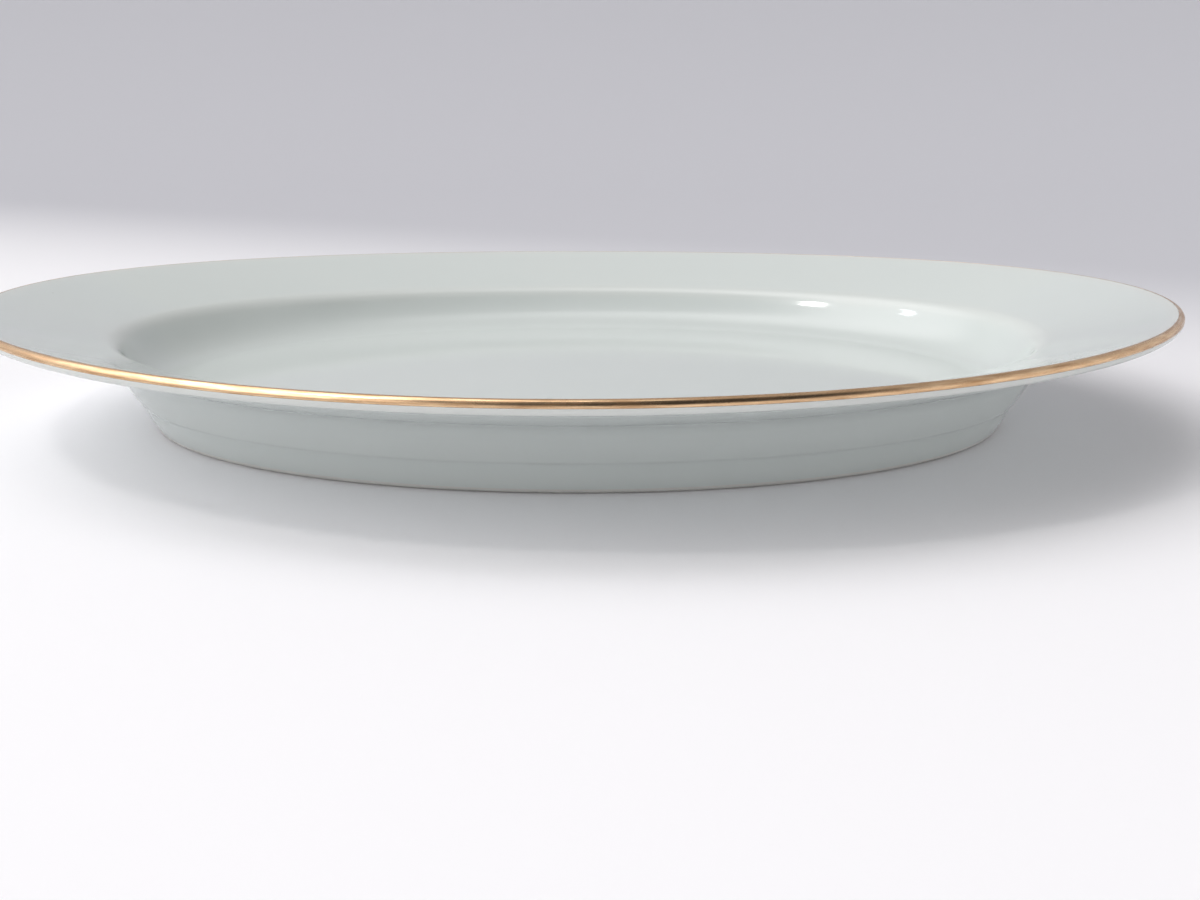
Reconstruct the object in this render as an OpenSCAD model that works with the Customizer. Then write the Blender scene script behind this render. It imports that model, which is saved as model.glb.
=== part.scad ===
// China serving platter: a wide oval flange round a deep well, on a foot ring.
// Millimetres. +X is the long axis, +Z is up, z = 0 is the table the foot stands on.
// The section is traced as points [inset, height]: inset is measured inwards from the
// rim, so the flange keeps one width all round the oval.

/* [Outline] */
// overall length, over the gilding at both ends
length = 356;              // [300:1:420]
// overall width, over the gilding at both sides
width = 254;               // [210:1:300]
// how much higher the two ends of the rim stand than its sides
end_rise = 3.25;           // [0:0.25:6]
// flat steps used for one turn of the oval
oval_steps = 64;           // [48:4:96]

/* [Flange] */
// height of the upper corner of the lip at the sides
lip_top = 36.4;            // [30:0.05:42]
// height of the lower corner of the lip at the sides
lip_bottom = 33.25;        // [27:0.05:39]
// rounding radius of the lip
lip_radius = 1.45;         // [0.8:0.05:1.5]
// inset where the flange turns down into the well
verge_inset = 36.6;        // [28:0.1:42]
// height of that turn at the sides
verge_height = 25.2;       // [20:0.1:29]
// rounding radius of that turn
verge_radius = 7.5;        // [2:0.5:10]

/* [Well] */
// inset where the inner wall would meet the floor as a sharp corner
well_inset = 44.0;         // [43:0.1:50]
// height of the well floor, without its glaze
floor_height = 12.8;       // [10.5:0.05:14]
// rounding radius between inner wall and floor
well_radius = 19.5;        // [4:0.5:20]

/* [Back and foot] */
// inset of the hollow corner where the flange's back meets the outer wall
back_inset = 35.2;         // [32:0.1:38]
// height of that corner
back_height = 20.9;        // [17:0.1:22]
// rounding radius of that corner
back_radius = 9;           // [1:0.5:12]
// height of the crease where the foot ring begins
crease_height = 9.1;       // [7:0.1:10]
// inset of that crease
crease_inset = 42.0;       // [40:0.1:43]
// small step of the wall above the crease
crease_step = 0.8;         // [0.2:0.1:1.2]
// rounding radius on both sides of the crease
crease_radius = 2.4;       // [0.8:0.1:2.6]
// inset of the foot's outer bottom corner
foot_outer = 45.8;         // [44:0.1:47]
// inset of the foot's inner bottom corner
foot_inner = 51.4;         // [49:0.1:53]
// rounding radius of both bottom corners
foot_radius = 2.0;         // [0.5:0.1:2]
// height of the recess ceiling above the table, without its glaze
recess_height = 7.8;       // [4:0.1:8]
// inset where the foot's inner side meets the recess ceiling
recess_inset = 53.6;       // [51:0.1:56]
// rounding radius of that corner
recess_radius = 3.0;       // [1:0.1:4]

/* [Coats] */
// thickness of the fired glaze
glaze_thickness = 0.25;    // [0.15:0.05:0.4]
// thickness of the fired gold line
gilt_thickness = 0.08;     // [0.05:0.01:0.15]
// height at which the glaze is wiped off the outer side of the foot
wipe_outer = 1.5;          // [1:0.1:3]
// height at which the glaze is wiped off the inner side of the foot
wipe_inner = 1.8;          // [1.2:0.1:3]

/* [Hidden] */
half_length = length / 2;
half_width = width / 2;
rim_inset = glaze_thickness + gilt_thickness;  // the bare rim lies under both coats
rise_top = verge_height;                       // the end rise is complete from here up
small_arc = 3;                                 // steps of the foot's roundings
wide_arc = 5;                                  // steps of the upper lip, verge and well roundings
back_arc = 5;                                  // steps of the hollow under the flange
crease_arc = 2;                                // steps on each side of the crease
under_lip_arc = 4;                             // steps of the lip's lower rounding

// ---- section: straight runs and rounded corners -------------------------------------

function unit(v) = v / norm(v);

// the points of a rounding of radius r at corner q, between neighbours p and s
function rounding(p, q, s, r, n) =
    let (u = unit(p - q), v = unit(s - q),
         half = acos(u * v) / 2,
         c = q + unit(u + v) * r / sin(half),
         a = q + u * r / tan(half) - c,
         b = q + v * r / tan(half) - c,
         start = atan2(a[1], a[0]),
         turn = sign(cross(a, b)) * (180 - 2 * half))
    [for (i = [0:n]) c + r * [cos(start + turn * i / n), sin(start + turn * i / n)]];

// a list of corners [inset, height, radius, steps] turned into points
function traced(k) =
    let (xy = [for (c = k) [c[0], c[1]]])
    [for (i = [0:len(k) - 1])
        each k[i][2] == 0 ? [xy[i]]
                          : rounding(xy[i - 1], xy[i], xy[i + 1], k[i][2], k[i][3])];

// the same points moved out of the surface by t
function lifted(p, t) =
    let (last = len(p) - 1)
    [for (i = [0:last])
        let (a = unit(p[min(i + 1, last)] - p[min(i, last - 1)]),
             b = unit(p[max(i, 1)] - p[max(i - 1, 0)]),
             n = unit([-(a[1] + b[1]), a[0] + b[0]]),
             open = max(0.7, n * [-a[1], a[0]]))
        p[i] + n * t / open];

function reversed(p) = [for (i = [len(p) - 1:-1:0]) p[i]];

// points where the two sides of the foot cross their wipe heights
outer_wipe_point = let (k = (crease_height - wipe_outer) / crease_height)
    [crease_inset + (foot_outer - crease_inset) * k, wipe_outer];
inner_wipe_point = let (k = wipe_inner / recess_height)
    [foot_inner + (recess_inset - foot_inner) * k, wipe_inner];

// recess side, from the ceiling outwards and down to the inner wipe line
recess_path = traced([
    [recess_inset + 2 * recess_radius, recess_height, 0],
    [recess_inset, recess_height, recess_radius, small_arc],
    [inner_wipe_point[0], inner_wipe_point[1], 0]]);

// bare foot, between the two wipe lines
foot_path = traced([
    [inner_wipe_point[0], inner_wipe_point[1], 0],
    [foot_inner, 0, foot_radius, small_arc],
    [foot_outer, 0, foot_radius, small_arc],
    [outer_wipe_point[0], outer_wipe_point[1], 0]]);

// outside, over the lip and down to the well floor
face_path = traced([
    [outer_wipe_point[0], outer_wipe_point[1], 0],
    [crease_inset, crease_height, crease_radius, crease_arc],
    [crease_inset - crease_step, crease_height + crease_step, crease_radius, crease_arc],
    [back_inset, back_height, back_radius, back_arc],
    [rim_inset, lip_bottom, lip_radius, under_lip_arc],
    [rim_inset, lip_top, lip_radius, wide_arc],
    [verge_inset, verge_height, verge_radius, wide_arc],
    [well_inset, floor_height, well_radius, wide_arc],
    [well_inset + well_radius * 0.75, floor_height, 0]]);

body_path = concat(recess_path,
                   [for (i = [1:len(foot_path) - 2]) foot_path[i]],
                   face_path);

glazed_face = lifted(face_path, glaze_thickness);
glazed_recess = lifted(recess_path, glaze_thickness);

// the gold line lies on the upper outer quarter of the lip
gilt_from = 1 + 2 * (crease_arc + 1) + (back_arc + 1) + (under_lip_arc + 1);
gilt_base = [for (i = [gilt_from:gilt_from + wide_arc - 1]) glazed_face[i]];
gilt_face = lifted(gilt_base, gilt_thickness);

// ---- oval rings ----------------------------------------------------------------------

// 0 on the foot and well floor, 1 from the verge up, smooth between
function share(z) =
    let (t = min(1, max(0, (z - floor_height) / (rise_top - floor_height))))
    t * t * (3 - 2 * t);

// one oval ring for a section point
function ring(q) =
    [for (j = [0:oval_steps - 1])
        let (a = 360 * j / oval_steps,
             x = (half_length - q[0]) * cos(a),
             y = (half_width - q[0]) * sin(a))
        [x, y, q[1] + end_rise * share(q[1]) * pow(x / half_length, 2)]];

// the two triangles of every step between ring k and the next one; flipped picks the
// other diagonal, so that a coat's inner side matches the surface under it exactly
function band(k, next, flipped) =
    [for (j = [0:oval_steps - 1])
        let (m = (j + 1) % oval_steps,
             a = k * oval_steps + j, b = k * oval_steps + m,
             c = next * oval_steps + j, d = next * oval_steps + m)
        each flipped ? [[a, c, b], [b, c, d]] : [[a, c, d], [a, d, b]]];

// a solid of stacked rings with a flat face at both ends
module capped(path, flips) {
    n = len(path);
    polyhedron(
        points = [for (q = path) each ring(q)],
        faces = concat(
            [[for (j = [0:oval_steps - 1]) j]],
            [for (k = [0:n - 2]) each band(k, k + 1, k < flips)],
            [[for (j = [oval_steps - 1:-1:0]) (n - 1) * oval_steps + j]]),
        convexity = 10);
}

// a solid of rings that close on themselves
module looped(path, flips) {
    n = len(path);
    polyhedron(
        points = [for (q = path) each ring(q)],
        faces = [for (k = [0:n - 1]) each band(k, (k + 1) % n, k < flips)],
        convexity = 10);
}

// ---- sub-parts -----------------------------------------------------------------------

// the fired clay: flange, walls, floor and foot ring, made in one piece
module porcelain_body()
    color([0.93, 0.91, 0.87])
        capped(body_path, 0);

// one skin of glass over the back, the lip and the whole face
module outer_glaze()
    color([0.90, 0.93, 0.92])
        capped(concat(reversed(face_path), glazed_face), len(face_path) - 1);

// the separate island of glaze inside the foot ring
module recess_glaze()
    color([0.88, 0.92, 0.91])
        capped(concat(recess_path, reversed(glazed_recess)), 0);

// the gold line fired onto the lip
module gilt_edge_band()
    color([0.80, 0.62, 0.30])
        looped(concat(reversed(gilt_base), gilt_face), len(gilt_base) - 1);

porcelain_body();
outer_glaze();
recess_glaze();
gilt_edge_band();
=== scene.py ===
import math

import bmesh
import bpy
import numpy as np
from bpy.props import FloatProperty, FloatVectorProperty, IntProperty, PointerProperty
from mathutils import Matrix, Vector


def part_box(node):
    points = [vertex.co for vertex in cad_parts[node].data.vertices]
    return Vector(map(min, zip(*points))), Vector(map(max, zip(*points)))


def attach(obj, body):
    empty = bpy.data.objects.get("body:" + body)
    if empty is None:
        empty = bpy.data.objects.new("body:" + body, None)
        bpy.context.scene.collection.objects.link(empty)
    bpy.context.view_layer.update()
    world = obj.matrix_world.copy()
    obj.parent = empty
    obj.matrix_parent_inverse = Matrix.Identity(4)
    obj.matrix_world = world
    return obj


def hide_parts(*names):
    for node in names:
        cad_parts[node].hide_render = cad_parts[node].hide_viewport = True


bl_info = {
    "name": "China Serving Platter",
    "version": (1, 0, 0),
    "blender": (4, 5, 0),
    "location": "3D View > Sidebar > Platter",
    "description": "Builds an oval china platter from its clay body, two glazes and a gold line",
    "category": "Add Mesh",
}

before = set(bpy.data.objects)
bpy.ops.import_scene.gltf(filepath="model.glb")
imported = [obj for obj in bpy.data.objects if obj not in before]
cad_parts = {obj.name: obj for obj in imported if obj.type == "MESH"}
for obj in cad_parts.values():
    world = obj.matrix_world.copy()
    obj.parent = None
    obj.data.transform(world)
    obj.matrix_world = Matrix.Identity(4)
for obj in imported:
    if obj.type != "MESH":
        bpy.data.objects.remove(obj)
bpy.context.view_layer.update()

MM = 0.001
RIM_LOW, RIM_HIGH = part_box("gilt_edge_band")


def linear(hex_colour):
    """An sRGB hex value as the linear red, green and blue that Blender works in."""
    parts = [int(hex_colour[i:i + 2], 16) / 255 for i in (1, 3, 5)]
    return tuple(p / 12.92 if p <= 0.04045 else ((p + 0.055) / 1.055) ** 2.4 for p in parts)


# ---- what a user may change ------------------------------------------------------------

class PlatterSizes(bpy.types.PropertyGroup):
    """Sizes of the platter, in metres"""
    length: FloatProperty(name="Length", description="Overall length over the gilding",
                          default=RIM_HIGH[0] - RIM_LOW[0], unit="LENGTH")
    width: FloatProperty(name="Width", description="Overall width over the gilding",
                         default=RIM_HIGH[1] - RIM_LOW[1], unit="LENGTH")
    end_rise: FloatProperty(name="End Rise", description="How much higher the ends of the rim are",
                            default=3.25 * MM, unit="LENGTH")
    glaze: FloatProperty(name="Glaze", description="Thickness of the fired glaze",
                         default=0.25 * MM, unit="LENGTH")
    gilt: FloatProperty(name="Gilding", description="Thickness of the gold line at its middle",
                        default=0.08 * MM, unit="LENGTH")
    oval_steps: IntProperty(name="Oval Steps", description="Flat steps in one turn of the oval",
                            default=396, min=48, max=480)


class PlatterColours(bpy.types.PropertyGroup):
    """Colours of the clay, the glaze and the gold"""
    glaze: FloatVectorProperty(name="Glaze", description="Glossy white of the glazed clay",
                               subtype="COLOR", size=3, default=linear("#CDD3D1"))
    pooled: FloatVectorProperty(name="Pooled Glaze", description="Where glaze is thick, in hollows",
                                subtype="COLOR", size=3, default=linear("#C5CCCA"))
    thin: FloatVectorProperty(name="Thin Glaze", description="Where glaze lies thin, over edges",
                              subtype="COLOR", size=3, default=linear("#D1D4D1"))
    speck: FloatVectorProperty(name="Specks", description="Tiny iron specks under the glaze",
                               subtype="COLOR", size=3, default=linear("#8A7F70"))
    biscuit: FloatVectorProperty(name="Bare Clay", description="Unglazed porcelain on the foot",
                                 subtype="COLOR", size=3, default=linear("#CFCECA"))
    # grey for the lowest edge of the bare foot: partly rubbed grime, partly painted contact shade
    grime_and_contact_shade: FloatVectorProperty(name="Foot Grime and Contact Shade", description="Grey rubbed into the bare foot, and painted contact shade",
                               subtype="COLOR", size=3, default=linear("#878785"))
    gold: FloatVectorProperty(name="Gold", description="Burnished gold of the rim line",
                              subtype="COLOR", size=3, default=linear("#E8C6A0"))
    gold_deep: FloatVectorProperty(name="Deep Gold", description="Gold where it was laid thick",
                                   subtype="COLOR", size=3, default=linear("#C09872"))
    floor: FloatVectorProperty(name="Floor", description="Plain pale ground under the platter",
                               subtype="COLOR", size=3, default=linear("#F5F4F7"))
    # the ground at the back, darker as painted shade for light falling off with distance
    floor_far_shaded: FloatVectorProperty(name="Far Floor Shade", description="The same ground at the back, with painted falloff",
                                   subtype="COLOR", size=3, default=linear("#C4C4CA"))


# ---- the section: the same one as the CAD solids, with finer steps ---------------------
# A point is (inset from the rim, height), in millimetres. A corner adds (radius, steps).

FLOOR_HEIGHT, RECESS_HEIGHT = 12.8, 7.8
VERGE_HEIGHT = 25.2       # the edge of the well; the end rise is complete from here up
RIM_INSET = 0.33          # the bare rim lies under the glaze and the gold
WALL_FOOT = (42.0, 9.1)   # where the outer wall steps in to the foot
FOOT_OUTER, FOOT_INNER = (45.8, 0.0), (51.4, 0.0)
RECESS_EDGE = (53.6, RECESS_HEIGHT)
FOOT_ROUND, RECESS_ROUND = (2.0, 8), (3.0, 8)
BACK = [(*WALL_FOOT, 3.2, 8), (41.2, 9.9, 2.8, 8), (35.2, 20.9, 9.0, 12)]
LIP = [(RIM_INSET, 33.25, 1.45, 8), (RIM_INSET, 36.4, 1.45, 12)]
WELL = [(36.6, VERGE_HEIGHT, 7.5, 14), (44.0, FLOOR_HEIGHT, 19.5, 24)]
FACE_END = (58.6, FLOOR_HEIGHT, 0, 0)
RECESS_START = (59.6, RECESS_HEIGHT, 0, 0)
FLAT_RINGS = (75.0, 95.0, 112.0)   # insets of the rings on the flat floors, inwards
WIPE_OUTER, WIPE_INNER = 1.5, 1.8  # heights at which the glaze was wiped off the foot
BEAD = 0.6                         # how far the wiped edge takes to reach full thickness
GILT_FROM, GILT_STEP = 34.4, 0.2   # height where the gold starts on the lip, and its steps


def crossing(a, b, height):
    """Where the straight side between corners a and b passes a height."""
    t = (height - a[1]) / (b[1] - a[1])
    return (a[0] + (b[0] - a[0]) * t, height, 0, 0)


OUTER_WIPE = crossing(FOOT_OUTER, WALL_FOOT, WIPE_OUTER)
INNER_WIPE = crossing(FOOT_INNER, RECESS_EDGE, WIPE_INNER)


def traced(corners):
    """Corners (inset, height, radius, steps) as an array of points, each corner rounded."""
    out = []
    for i, (d, z, radius, steps) in enumerate(corners):
        q = np.array((d, z), float)
        if not radius:
            out.append(q)
            continue
        u = np.array(corners[i - 1][:2]) - q
        v = np.array(corners[i + 1][:2]) - q
        u, v = u / np.linalg.norm(u), v / np.linalg.norm(v)
        half = math.acos(float(np.clip(u @ v, -1, 1))) / 2
        mid = (u + v) / np.linalg.norm(u + v)
        c = q + mid * radius / math.sin(half)
        a, b = q + u * radius / math.tan(half) - c, q + v * radius / math.tan(half) - c
        turn = math.copysign(math.pi - 2 * half, a[0] * b[1] - a[1] * b[0])
        start = math.atan2(a[1], a[0])
        for k in range(steps + 1):
            t = start + turn * k / steps
            out.append(c + radius * np.array((math.cos(t), math.sin(t))))
    return np.array(out)


def divided(path, longest):
    """The same line with long straight runs cut into steps no longer than this."""
    out = [path[0]]
    for a, b in zip(path[:-1], path[1:]):
        n = max(1, math.ceil(np.linalg.norm(b - a) / longest))
        out += [a + (b - a) * k / n for k in range(1, n + 1)]
    return np.array(out)


def lifted(path, amount):
    """The line moved out of the surface by an amount, one for all points or one for each."""
    step = np.diff(path, axis=0)
    step /= np.linalg.norm(step, axis=1)[:, None]
    mean = np.vstack([step[:1], step[:-1] + step[1:], step[-1:]])
    mean /= np.linalg.norm(mean, axis=1)[:, None]
    normal = np.column_stack([-mean[:, 1], mean[:, 0]])
    return path + normal * np.broadcast_to(amount, len(path))[:, None]


def travel(path):
    """Distance along the line at each point."""
    return np.concatenate([[0], np.cumsum(np.linalg.norm(np.diff(path, axis=0), axis=1))])


def hollowness(path, reach=2.2):
    """-1 over sharp outward edges, +1 in hollows, smoothed over the reach in millimetres."""
    step = np.diff(path, axis=0)
    angle = np.arctan2(step[:, 1], step[:, 0])
    turn = np.concatenate([[0], (np.diff(angle) + math.pi) % (2 * math.pi) - math.pi, [0]])
    s = travel(path)
    near = np.exp(-((s[:, None] - s[None]) / reach) ** 2)
    return np.clip(near @ turn / 0.9, -1, 1)


def beaded(run, thick):
    """Thickness of a glaze at each distance from its wiped edge, which is a small round bead."""
    return thick * np.clip(run / BEAD, 0, 1) ** 0.5


FACE_PATH = divided(traced([OUTER_WIPE, *BACK, *LIP, *WELL, FACE_END]), 3.0)
RECESS_PATH = divided(traced([RECESS_START, (*RECESS_EDGE, *RECESS_ROUND), INNER_WIPE]), 2.0)
FOOT_PATH = divided(traced([INNER_WIPE, (*FOOT_INNER, *FOOT_ROUND), (*FOOT_OUTER, *FOOT_ROUND),
                            OUTER_WIPE]), 1.0)


# ---- the stage, in metres, degrees and watts -------------------------------------------

LAMPS = [
    # name, position, aim, width, height, watts, colour
    ("LeftLamp", (-0.318, -0.249, 0.568), (0.09, 0.07, 0.023), 0.045, 0.07, 0.40, "#FFFDF8"),
    ("LeftPane", (-0.461, -0.015, 0.499), (0.12, 0.05, 0.023), 0.05, 0.07, 0.11, "#F4F7FF"),
]
LIGHTS = [
    # direction, cosine of the angle where it starts, and where it is full, strength
    ((-0.50, -0.18, 0.85), 0.64, 1.0, 2.82),   # the window
    ((-0.05, -0.95, 0.2), 0.25, 0.95, 0.08),   # in front
    ((-1.0, 0.05, 0.15), 0.35, 0.95, 0.08),    # at the left
    ((0.8, -0.58, 0.15), 0.5, 0.95, 0.25),     # at the right, in front
]
# the same, then the level outside and inside
ROOM = ((0, 0, 1), 0.1, 0.75, 0.78, 0.52)      # brighter low down than overhead
VIEWER = ((0.12, -0.54, 0.83), 0.74, 0.90, 1.0, 0.06)
ROOM_COLOUR = "#FDFCFC"
GROUND_SIZE, GROUND_DROP = 5.0, 0.00005        # the drop keeps it clear of the foot
CURVE_START, CURVE_ANGLE, CURVE_STEPS, CURVE_STEP = 1.2, 50, 12, 0.09
BACKDROP_LENGTH = 2.5
CAMERA_PLACE, CAMERA_AIM = (0.00926, -0.3315, 0.08967), (-0.00665, 0.9547, -0.2975)
CAMERA_LENS, SENSOR_WIDTH, CLIP_START = 31.77, 36.0, 0.01


# ---- modelling -------------------------------------------------------------------------

def deselect():
    """Nothing selected and nothing in edit mode, as every piece starts."""
    if bpy.context.object and bpy.context.object.mode != "OBJECT":
        bpy.ops.object.mode_set(mode="OBJECT")
    bpy.ops.object.select_all(action="DESELECT")


def pick(piece):
    """Only this piece selected, and active."""
    deselect()
    piece.select_set(True)
    bpy.context.view_layer.objects.active = piece


def share(height):
    """How much of the end rise a height takes: none on the foot and floor, all on the rim."""
    t = np.clip((height - FLOOR_HEIGHT) / (VERGE_HEIGHT - FLOOR_HEIGHT), 0, 1)
    return t * t * (3 - 2 * t)


def sweep_oval(name, path, sizes, closed=False):
    """A solid made by drawing an oval face up through every point of the section line."""
    half_x, half_y = sizes.length / 2 / MM, sizes.width / 2 / MM
    deselect()
    bpy.ops.mesh.primitive_circle_add(vertices=sizes.oval_steps, radius=1.0,
                                      fill_type="NOTHING" if closed else "NGON")
    piece = bpy.context.object
    piece.name = piece.data.name = name
    bpy.ops.object.mode_set(mode="EDIT")
    d, z = path[0]
    bpy.ops.transform.resize(value=((half_x - d) * MM, (half_y - d) * MM, 1),
                             center_override=(0, 0, 0))
    bpy.ops.transform.translate(value=(0, 0, z * MM))
    rest = list(path[1:]) + ([path[0]] if closed else [])
    for new_d, new_z in rest:
        bpy.ops.mesh.extrude_region_move(
            TRANSFORM_OT_translate={"value": (0, 0, (new_z - z) * MM)})
        bpy.ops.transform.resize(
            value=((half_x - new_d) / (half_x - d), (half_y - new_d) / (half_y - d), 1),
            center_override=(0, 0, 0))
        d, z = new_d, new_z
    bpy.ops.mesh.select_all(action="SELECT")
    if closed:
        bpy.ops.mesh.remove_doubles(threshold=0.000002)
    bpy.ops.mesh.normals_make_consistent(inside=False)
    bpy.ops.object.mode_set(mode="OBJECT")
    return piece


def places_on(piece, path, sizes):
    """Which section point each vertex came from, found by its height and inset."""
    half_x, half_y = sizes.length / 2 / MM, sizes.width / 2 / MM
    xyz = np.empty(len(piece.data.vertices) * 3)
    piece.data.vertices.foreach_get("co", xyz)
    x, y, z = xyz.reshape(-1, 3).T / MM
    low, high = np.full(len(x), -1.0), np.full(len(x), half_y - 1)
    for _ in range(40):
        mid = (low + high) / 2
        outside = (x / (half_x - mid)) ** 2 + (y / (half_y - mid)) ** 2 > 1
        low, high = np.where(outside, low, mid), np.where(outside, mid, high)
    spot = np.column_stack([(low + high) / 2, z])
    return np.array([np.argmin(((path - s) ** 2).sum(axis=1)) for s in spot]), x


def raise_ends(piece, path, places, x, sizes):
    """Lifts both ends of the rim with a weighted Displace, then applies it."""
    weights = share(path[places][:, 1]) * (x / (sizes.length / 2 / MM)) ** 2
    group = piece.vertex_groups.new(name="end_rise")
    for i, w in enumerate(weights):
        if w > 0:
            group.add([i], float(w), "REPLACE")
    lift = piece.modifiers.new("End rise", "DISPLACE")
    lift.direction, lift.mid_level = "Z", 0.0
    lift.strength, lift.vertex_group = sizes.end_rise, group.name
    pick(piece)
    bpy.ops.object.modifier_apply(modifier=lift.name)
    piece.vertex_groups.clear()


def store(piece, name, values):
    """A number for every vertex that a material can read."""
    layer = piece.data.attributes.new(name, "FLOAT", "POINT")
    layer.data.foreach_set("value", np.asarray(values, np.float32))


def finish_piece(piece, material, node_name, sharp=40):
    """Smooth shading, the material, and the places in the frame that the piece belongs to."""
    pick(piece)
    bpy.ops.object.shade_smooth_by_angle(angle=math.radians(sharp))
    bpy.ops.object.transform_apply(location=True, rotation=True, scale=True)
    piece.data.materials.clear()
    piece.data.materials.append(material)
    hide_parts(node_name)
    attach(piece, "root")


# ---- materials -------------------------------------------------------------------------

def add(tree, kind, settings=(), inputs=()):
    """Adds a node, sets its properties, and fills or links its inputs."""
    node = tree.nodes.new(kind)
    for key, value in dict(settings).items():
        setattr(node, key, value)
    for key, value in dict(inputs).items():
        if isinstance(value, bpy.types.NodeSocket):
            tree.links.new(value, node.inputs[key])
        else:
            node.inputs[key].default_value = value
    return node


def blank_material(name):
    """A node material with its shader and output joined, ready for its patterns."""
    material = bpy.data.materials.new(name)
    material.use_nodes = True
    tree = material.node_tree
    tree.nodes.clear()
    shader = add(tree, "ShaderNodeBsdfPrincipled")
    add(tree, "ShaderNodeOutputMaterial", inputs={"Surface": shader.outputs["BSDF"]})
    return material, tree, shader


def feldspathic_glaze(name, colours, wave, pits):
    """Glossy glaze, with the depth of its long wave in millimetres and its share of pinholes."""
    # High-fired feldspathic glaze over white porcelain: a hard clear glass, a little green-grey
    # where it pools, whiter over edges. It runs level in the kiln but keeps a long lazy wave
    # (about 30 mm) and a faint orange peel (about 1.4 mm), so reflections bend slightly.
    material, tree, shader = blank_material(name)
    place = add(tree, "ShaderNodeTexCoord").outputs["Object"]
    depth = add(tree, "ShaderNodeAttribute", {"attribute_name": "hollow"}).outputs["Fac"]

    # the depth runs from -1, thin, to 1, pooled, and drifts a little over about 35 mm
    cloud = add(tree, "ShaderNodeTexNoise", inputs={
        "Vector": place, "Scale": 28.0, "Detail": 3.0, "Roughness": 0.55})
    drift = add(tree, "ShaderNodeMath", {"operation": "MULTIPLY_ADD"},
                {0: cloud.outputs["Fac"], 1: 0.5, 2: -0.25})
    depth_sum = add(tree, "ShaderNodeMath", {"operation": "ADD"}, {0: depth, 1: drift.outputs[0]})
    depth_share = add(tree, "ShaderNodeMath", {"operation": "MULTIPLY_ADD"},
                      {0: depth_sum.outputs[0], 1: 0.5, 2: 0.5})
    pooling = add(tree, "ShaderNodeValToRGB", inputs={"Fac": depth_share.outputs[0]})
    ramp = pooling.color_ramp
    ramp.elements[0].position, ramp.elements[0].color = 0.0, (*colours.thin, 1)
    ramp.elements[1].position, ramp.elements[1].color = 1.0, (*colours.pooled, 1)
    middle = ramp.elements.new(0.5)
    middle.color = (*colours.glaze, 1)

    # iron specks: a few a decimetre, about 0.4 mm across, softened by the glaze over them
    cells = add(tree, "ShaderNodeTexVoronoi", inputs={"Vector": place, "Scale": 95.0})
    near = add(tree, "ShaderNodeMapRange", inputs={
        "Value": cells.outputs["Distance"], "From Min": 0.012, "From Max": 0.03,
        "To Min": 1.0, "To Max": 0.0})
    cell_draw = add(tree, "ShaderNodeSeparateColor", inputs={"Color": cells.outputs["Color"]})
    rare = add(tree, "ShaderNodeMath", {"operation": "GREATER_THAN"},
               {0: cell_draw.outputs[0], 1: 0.93})
    speck = add(tree, "ShaderNodeMath", {"operation": "MULTIPLY"},
                {0: near.outputs[0], 1: rare.outputs[0]})
    speck_soft = add(tree, "ShaderNodeMath", {"operation": "MULTIPLY"},
                     {0: speck.outputs[0], 1: 0.45})
    speckled = add(tree, "ShaderNodeMix", {"data_type": "RGBA"},
                   {0: speck_soft.outputs[0], 6: pooling.outputs["Color"], 7: (*colours.speck, 1)})
    tree.links.new(speckled.outputs[2], shader.inputs["Base Color"])

    # years of wiping leave the gloss a little uneven
    haze = add(tree, "ShaderNodeTexNoise", inputs={
        "Vector": place, "Scale": 45.0, "Detail": 1.0})
    gloss = add(tree, "ShaderNodeMapRange", inputs={
        "Value": haze.outputs["Fac"], "From Min": 0.3, "From Max": 0.7,
        "To Min": 0.055, "To Max": 0.085})
    tree.links.new(gloss.outputs[0], shader.inputs["Roughness"])

    long_wave = add(tree, "ShaderNodeTexNoise", inputs={
        "Vector": place, "Scale": 33.0, "Detail": 0.0})
    peel = add(tree, "ShaderNodeTexNoise", inputs={
        "Vector": place, "Scale": 700.0, "Detail": 1.0})

    # pinholes where a bubble burst and did not quite heal, under 0.5 mm across
    pit_cells = add(tree, "ShaderNodeTexVoronoi", inputs={"Vector": place, "Scale": 140.0})
    pit_near = add(tree, "ShaderNodeMapRange", inputs={
        "Value": pit_cells.outputs["Distance"], "From Min": 0.0, "From Max": 0.035,
        "To Min": -1.0, "To Max": 0.0})
    pit_draw = add(tree, "ShaderNodeSeparateColor", inputs={"Color": pit_cells.outputs["Color"]})
    pit_rare = add(tree, "ShaderNodeMath", {"operation": "GREATER_THAN"},
                   {0: pit_draw.outputs[1], 1: 1 - pits})
    pit = add(tree, "ShaderNodeMath", {"operation": "MULTIPLY"},
              {0: pit_near.outputs[0], 1: pit_rare.outputs[0]})

    bump_wave = add(tree, "ShaderNodeBump", inputs={
        "Height": long_wave.outputs["Fac"], "Strength": 1.0, "Distance": wave * MM})
    bump_peel = add(tree, "ShaderNodeBump", inputs={
        "Height": peel.outputs["Fac"], "Strength": 1.0, "Distance": 0.0005 * MM,
        "Normal": bump_wave.outputs["Normal"]})
    bump_pit = add(tree, "ShaderNodeBump", inputs={
        "Height": pit.outputs[0], "Strength": 1.0, "Distance": 0.06 * MM,
        "Normal": bump_peel.outputs["Normal"]})
    tree.links.new(bump_pit.outputs["Normal"], shader.inputs["Normal"])
    shader.inputs["IOR"].default_value = 1.52
    return material


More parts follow.
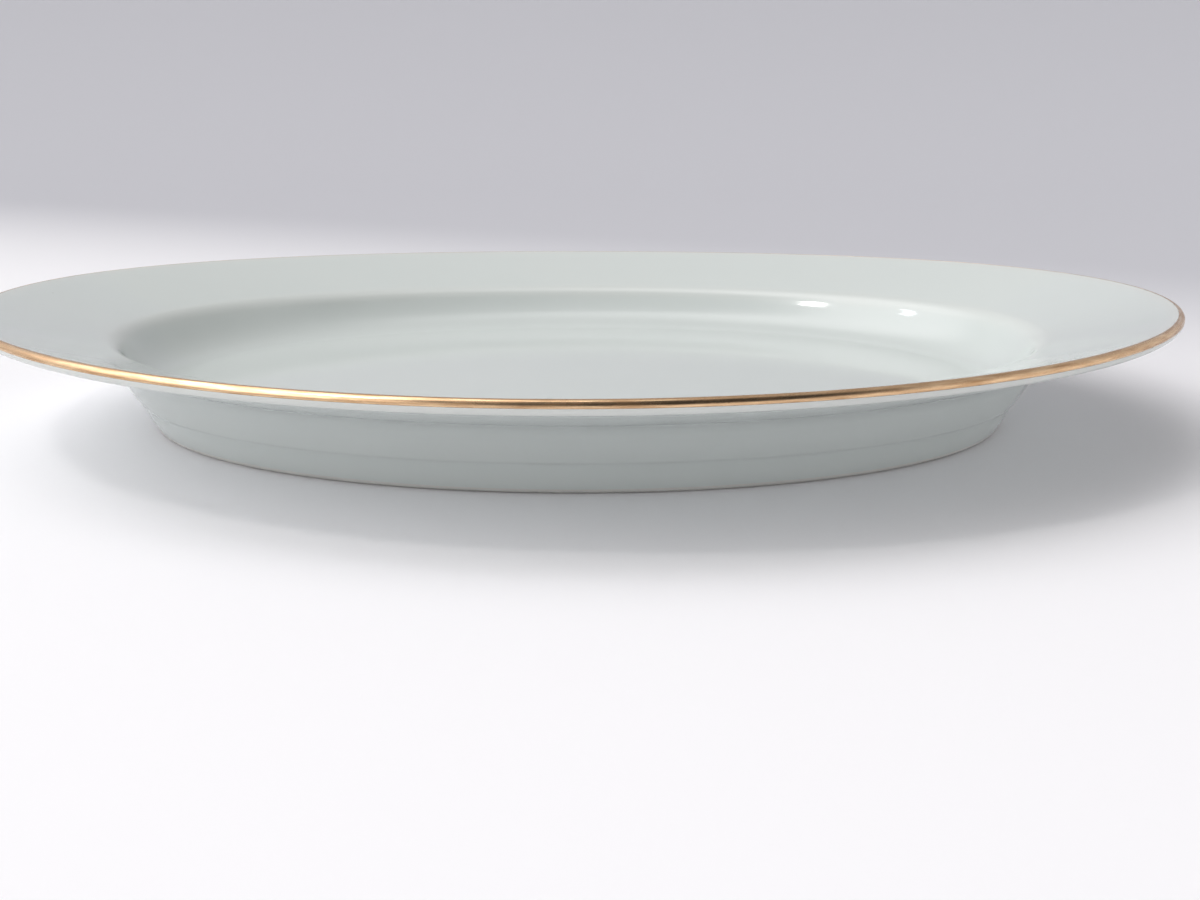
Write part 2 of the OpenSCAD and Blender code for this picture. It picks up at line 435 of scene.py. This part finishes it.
def bisque_porcelain(colours):
    """Bare fired clay, greyed where it stands by rubbed grime and painted contact shade."""
    # Bare high-fired porcelain: dense, matt and a shade warm, with a fine sandy tooth of about 0.4
    # mm. The lowest 0.9 mm is greyed in patches: partly grime rubbed in by tables, partly painted
    # shade standing in for the dark contact line where the foot meets the ground.
    material, tree, shader = blank_material("Bisque porcelain, rubbed foot with painted contact shade")
    place = add(tree, "ShaderNodeTexCoord").outputs["Object"]
    height = add(tree, "ShaderNodeSeparateXYZ", inputs={"Vector": place}).outputs["Z"]
    # darker towards the very bottom of the foot, in patches: grime, and painted shade for the dark
    # contact line
    low = add(tree, "ShaderNodeMapRange", inputs={
        "Value": height, "From Min": 0.0, "From Max": 0.9 * MM, "To Min": 1.0, "To Max": 0.0})
    scuff = add(tree, "ShaderNodeTexNoise", inputs={
        "Vector": place, "Scale": 120.0, "Detail": 6.0, "Roughness": 0.7})
    patch = add(tree, "ShaderNodeMapRange", inputs={
        "Value": scuff.outputs["Fac"], "From Min": 0.4, "From Max": 0.65,
        "To Min": 0.05, "To Max": 0.55})
    grime_and_contact_shade = add(tree, "ShaderNodeMath", {"operation": "MULTIPLY"},
                {0: low.outputs[0], 1: patch.outputs[0]})
    grain = add(tree, "ShaderNodeTexNoise", inputs={
        "Vector": place, "Scale": 2600.0, "Detail": 3.0})
    shade = add(tree, "ShaderNodeMix", {"data_type": "RGBA"},
                {0: grime_and_contact_shade.outputs[0], 6: (*colours.biscuit, 1), 7: (*colours.grime_and_contact_shade, 1)})
    sandy = add(tree, "ShaderNodeMix", {"data_type": "RGBA", "blend_type": "MULTIPLY"},
                {0: 0.12, 6: shade.outputs[2], 7: grain.outputs["Color"]})
    tree.links.new(sandy.outputs[2], shader.inputs["Base Color"])
    tooth = add(tree, "ShaderNodeBump", inputs={
        "Height": grain.outputs["Fac"], "Strength": 0.6, "Distance": 0.05 * MM})
    tree.links.new(tooth.outputs["Normal"], shader.inputs["Normal"])
    rub = add(tree, "ShaderNodeMapRange", inputs={
        "Value": grime_and_contact_shade.outputs[0], "To Min": 0.78, "To Max": 0.55})
    tree.links.new(rub.outputs[0], shader.inputs["Roughness"])
    shader.inputs["IOR"].default_value = 1.5
    return material


def burnished_gold(colours):
    """Gold with brush strokes along the line."""
    # Liquid bright gold, banded on with a brush while the ware turns, fired and burnished: a
    # mirror-like film with fine strokes along the line, deeper in colour where it lies thick.
    material, tree, shader = blank_material("Burnished gold line")
    place = add(tree, "ShaderNodeTexCoord").outputs["Object"]
    across = add(tree, "ShaderNodeAttribute", {"attribute_name": "across"}).outputs["Fac"]
    parts = add(tree, "ShaderNodeSeparateXYZ", inputs={"Vector": place})
    spread = add(tree, "ShaderNodeMath", {"operation": "MULTIPLY"}, {0: across, 1: 0.04})
    along = add(tree, "ShaderNodeCombineXYZ", inputs={
        "X": parts.outputs["X"], "Y": parts.outputs["Y"], "Z": spread.outputs[0]})
    stroke = add(tree, "ShaderNodeTexNoise", inputs={
        "Vector": along.outputs[0], "Scale": 110.0, "Detail": 4.0, "Roughness": 0.6})
    tone = add(tree, "ShaderNodeMapRange", inputs={
        "Value": stroke.outputs["Fac"], "From Min": 0.35, "From Max": 0.68})
    colour = add(tree, "ShaderNodeMix", {"data_type": "RGBA"},
                 {0: tone.outputs[0], 6: (*colours.gold, 1), 7: (*colours.gold_deep, 1)})
    tree.links.new(colour.outputs[2], shader.inputs["Base Color"])
    gloss = add(tree, "ShaderNodeMapRange", inputs={
        "Value": stroke.outputs["Fac"], "From Min": 0.3, "From Max": 0.7,
        "To Min": 0.16, "To Max": 0.34})
    tree.links.new(gloss.outputs[0], shader.inputs["Roughness"])
    ridge = add(tree, "ShaderNodeBump", inputs={
        "Height": stroke.outputs["Fac"], "Strength": 0.5, "Distance": 0.03 * MM})
    tree.links.new(ridge.outputs["Normal"], shader.inputs["Normal"])
    shader.inputs["Metallic"].default_value = 1.0
    return material


def card_with_painted_falloff(colours):
    """The plain ground and its curved back, with painted shade towards the back right."""
    # Matt backdrop card: white in front and greyer to the back right, where the grey is painted
    # shade standing in for window light falling off with distance; almost no gloss, with a fibre
    # tooth of about 1 mm that hardly shows.
    material, tree, shader = blank_material("Matt card with painted falloff")
    place = add(tree, "ShaderNodeTexCoord").outputs["Object"]
    # painted falloff: the card darkens smoothly towards the back right in place of the light
    # dimming there
    back_right = add(tree, "ShaderNodeVectorMath", {"operation": "DOT_PRODUCT"},
                     {0: place, 1: Vector((0.5, 0.866, 0))})
    grade = add(tree, "ShaderNodeMapRange", {"interpolation_type": "SMOOTHSTEP"},
                {"Value": back_right.outputs["Value"], "From Min": 0.02, "From Max": 0.5})
    tone = add(tree, "ShaderNodeMix", {"data_type": "RGBA"},
               {0: grade.outputs[0], 6: (*colours.floor, 1), 7: (*colours.floor_far_shaded, 1)})
    tree.links.new(tone.outputs[2], shader.inputs["Base Color"])
    fibre = add(tree, "ShaderNodeTexNoise", inputs={
        "Vector": place, "Scale": 900.0, "Detail": 2.0})
    tooth = add(tree, "ShaderNodeBump", inputs={
        "Height": fibre.outputs["Fac"], "Strength": 0.3, "Distance": 0.05 * MM})
    tree.links.new(tooth.outputs["Normal"], shader.inputs["Normal"])
    shader.inputs["Roughness"].default_value = 0.9
    shader.inputs["Specular IOR Level"].default_value = 0.2
    return material


# ---- one operator for each piece -------------------------------------------------------

class PLATTER_OT_porcelain_body(bpy.types.Operator):
    """Makes the fired clay body, bare only on the edge of its foot"""
    bl_idname = "platter.porcelain_body"
    bl_label = "Porcelain Body"

    def execute(self, context):
        sizes, colours = context.scene.platter_sizes, context.scene.platter_colours
        path = np.vstack([RECESS_PATH, FOOT_PATH[1:-1], FACE_PATH])
        piece = sweep_oval("PorcelainBody", path, sizes)
        places, x = places_on(piece, path, sizes)
        raise_ends(piece, path, places, x, sizes)
        finish_piece(piece, bisque_porcelain(colours), "porcelain_body")
        return {"FINISHED"}


class PLATTER_OT_outer_glaze(bpy.types.Operator):
    """Makes the glaze that covers the back, the lip, the flange and the well"""
    bl_idname = "platter.outer_glaze"
    bl_label = "Outer Glaze"

    def execute(self, context):
        sizes, colours = context.scene.platter_sizes, context.scene.platter_colours
        thick = sizes.glaze / MM
        skin = lifted(FACE_PATH, beaded(travel(FACE_PATH), thick))
        skin = np.vstack([skin, [(d, FLOOR_HEIGHT + thick) for d in FLAT_RINGS]])
        under = np.vstack([[(FLAT_RINGS[-1], FLOOR_HEIGHT)], FACE_PATH[::-1]])
        path = np.vstack([under, skin[1:]])
        piece = sweep_oval("OuterGlaze", path, sizes)
        places, x = places_on(piece, path, sizes)
        raise_ends(piece, path, places, x, sizes)
        hollow = np.concatenate([np.zeros(len(under)), hollowness(skin)[1:]])
        store(piece, "hollow", hollow[places])
        glaze = feldspathic_glaze("Feldspathic glaze, face and back", colours, 0.015, 0.03)
        finish_piece(piece, glaze, "outer_glaze")
        return {"FINISHED"}


class PLATTER_OT_recess_glaze(bpy.types.Operator):
    """Makes the island of glaze inside the foot ring"""
    bl_idname = "platter.recess_glaze"
    bl_label = "Recess Glaze"

    def execute(self, context):
        sizes, colours = context.scene.platter_sizes, context.scene.platter_colours
        thick = sizes.glaze / MM
        skin = lifted(RECESS_PATH, beaded(travel(RECESS_PATH[::-1])[::-1], thick))
        skin = np.vstack([[(d, RECESS_HEIGHT - thick) for d in reversed(FLAT_RINGS)], skin])
        under = np.vstack([RECESS_PATH[::-1], [(FLAT_RINGS[-1], RECESS_HEIGHT)]])
        path = np.vstack([skin[:-1], under])
        piece = sweep_oval("RecessGlaze", path, sizes)
        places, x = places_on(piece, path, sizes)
        hollow = np.concatenate([hollowness(skin)[:-1], np.zeros(len(under))])
        store(piece, "hollow", hollow[places])
        glaze = feldspathic_glaze("Feldspathic glaze, recess", colours, 0.03, 0.12)
        finish_piece(piece, glaze, "recess_glaze")
        return {"FINISHED"}


class PLATTER_OT_gilt_edge_band(bpy.types.Operator):
    """Makes the gold line on the upper outer part of the lip"""
    bl_idname = "platter.gilt_edge_band"
    bl_label = "Gilt Edge Band"

    def execute(self, context):
        sizes, colours = context.scene.platter_sizes, context.scene.platter_colours
        # the line runs over the glaze up to the top of the lip, and feathers out at both sides
        lip = lifted(FACE_PATH, sizes.glaze / MM)
        start = int(np.argmax(lip[:, 1] > GILT_FROM))
        stop = int(np.argmax(lip[:, 1])) + 1
        base = divided(lip[start:stop], GILT_STEP)
        run = travel(base) / travel(base)[-1]
        swell = np.clip(4 * run * (1 - run), 0, 1) ** 0.4
        skin = lifted(base, sizes.gilt / MM * swell)
        path = np.vstack([base[::-1], skin[1:-1]])
        piece = sweep_oval("GiltEdgeBand", path, sizes, closed=True)
        places, x = places_on(piece, path, sizes)
        raise_ends(piece, path, places, x, sizes)
        across = np.concatenate([run[::-1], run[1:-1]])
        store(piece, "across", across[places])
        finish_piece(piece, burnished_gold(colours), "gilt_edge_band", sharp=180)
        return {"FINISHED"}


class PLATTER_OT_stage(bpy.types.Operator):
    """Sets the pale ground, the soft lights and the camera"""
    bl_idname = "platter.stage"
    bl_label = "Stage"

    def execute(self, context):
        colours = context.scene.platter_colours
        deselect()
        bpy.ops.mesh.primitive_plane_add(size=GROUND_SIZE, location=(0, 0, -GROUND_DROP))
        ground = context.object
        ground.name = ground.data.name = "Ground"
        bpy.ops.object.mode_set(mode="EDIT")
        mesh = bmesh.from_edit_mesh(ground.data)
        bpy.ops.mesh.select_all(action="DESELECT")
        for edge in mesh.edges:
            edge.select_set(all(v.co.y > 0 for v in edge.verts))
        mesh.select_flush_mode()
        bmesh.update_edit_mesh(ground.data)
        bpy.ops.transform.translate(value=(0, CURVE_START - GROUND_SIZE / 2, 0))
        rises = [(CURVE_ANGLE * k / CURVE_STEPS, CURVE_STEP) for k in range(1, CURVE_STEPS + 1)]
        for angle, length in [*rises, (CURVE_ANGLE, BACKDROP_LENGTH)]:
            slope = math.radians(angle)
            bpy.ops.mesh.extrude_region_move(TRANSFORM_OT_translate={
                "value": (0, length * math.cos(slope), length * math.sin(slope))})
        bpy.ops.mesh.select_all(action="SELECT")
        bpy.ops.mesh.normals_make_consistent(inside=False)
        bpy.ops.object.mode_set(mode="OBJECT")
        bpy.ops.object.shade_smooth()
        bpy.ops.object.transform_apply(location=True, rotation=True, scale=True)
        ground.data.materials.append(card_with_painted_falloff(colours))

        for name, where, aim, width, height, watts, colour in LAMPS:
            bpy.ops.object.light_add(type="AREA", location=where)
            lamp = context.object
            lamp.name = lamp.data.name = name
            lamp.data.shape, lamp.data.size, lamp.data.size_y = "RECTANGLE", width, height
            lamp.data.energy, lamp.data.color = watts, linear(colour)
            toward = Vector(aim) - Vector(where)
            lamp.rotation_euler = toward.to_track_quat("-Z", "Y").to_euler()

        # a soft room: a window high on the left, a little light low in front and at both sides,
        # dim overhead, and the dark shape of whoever is looking
        world = bpy.data.worlds.new("SoftRoom")
        context.scene.world = world
        world.use_nodes = True
        tree = world.node_tree
        tree.nodes.clear()
        way = add(tree, "ShaderNodeTexCoord").outputs["Generated"]

        def lobe(direction, start, end, low, high):
            """A level that goes smoothly from low to high towards one direction."""
            toward = add(tree, "ShaderNodeVectorMath", {"operation": "DOT_PRODUCT"},
                         {0: way, 1: Vector(direction).normalized()})
            return add(tree, "ShaderNodeMapRange", {"interpolation_type": "SMOOTHSTEP"},
                       {"Value": toward.outputs["Value"], "From Min": start, "From Max": end,
                        "To Min": low, "To Max": high}).outputs[0]

        total = lobe(*ROOM)
        for direction, start, full, strength in LIGHTS:
            light = lobe(direction, start, full, 0.0, strength)
            total = add(tree, "ShaderNodeMath", {"operation": "ADD"},
                        {0: total, 1: light}).outputs[0]
        shaded = add(tree, "ShaderNodeMath", {"operation": "MULTIPLY"},
                     {0: total, 1: lobe(*VIEWER)})
        back = add(tree, "ShaderNodeBackground", inputs={
            "Color": (*linear(ROOM_COLOUR), 1), "Strength": shaded.outputs[0]})
        add(tree, "ShaderNodeOutputWorld", inputs={"Surface": back.outputs[0]})
        context.scene.view_settings.view_transform = "Standard"

        bpy.ops.object.camera_add(location=CAMERA_PLACE)
        camera = context.object
        camera.name = camera.data.name = "Camera"
        camera.rotation_euler = Vector(CAMERA_AIM).to_track_quat("-Z", "Y").to_euler()
        camera.data.sensor_width, camera.data.lens = SENSOR_WIDTH, CAMERA_LENS
        camera.data.clip_start = CLIP_START
        context.scene.camera = camera
        return {"FINISHED"}


class PLATTER_PT_panel(bpy.types.Panel):
    """Lists the sizes, the colours and the pieces"""
    bl_idname = "PLATTER_PT_panel"
    bl_label = "China Platter"
    bl_space_type = "VIEW_3D"
    bl_region_type = "UI"
    bl_category = "Platter"

    def draw(self, context):
        layout = self.layout
        for group in (context.scene.platter_sizes, context.scene.platter_colours):
            column = layout.column(align=True)
            for key in group.__annotations__:
                column.prop(group, key)
        for operator in PIECES:
            layout.operator(operator.bl_idname)


PIECES = (PLATTER_OT_porcelain_body, PLATTER_OT_outer_glaze, PLATTER_OT_recess_glaze,
          PLATTER_OT_gilt_edge_band, PLATTER_OT_stage)
CLASSES = (PlatterSizes, PlatterColours, *PIECES, PLATTER_PT_panel)


def register():
    for cls in CLASSES:
        bpy.utils.register_class(cls)
    bpy.types.Scene.platter_sizes = PointerProperty(type=PlatterSizes)
    bpy.types.Scene.platter_colours = PointerProperty(type=PlatterColours)


def unregister():
    del bpy.types.Scene.platter_colours
    del bpy.types.Scene.platter_sizes
    for cls in reversed(CLASSES):
        bpy.utils.unregister_class(cls)


def main():
    register()
    bpy.ops.platter.porcelain_body()
    bpy.ops.platter.outer_glaze()
    bpy.ops.platter.recess_glaze()
    bpy.ops.platter.gilt_edge_band()
    bpy.ops.platter.stage()


if __name__ == "__main__":
    main()
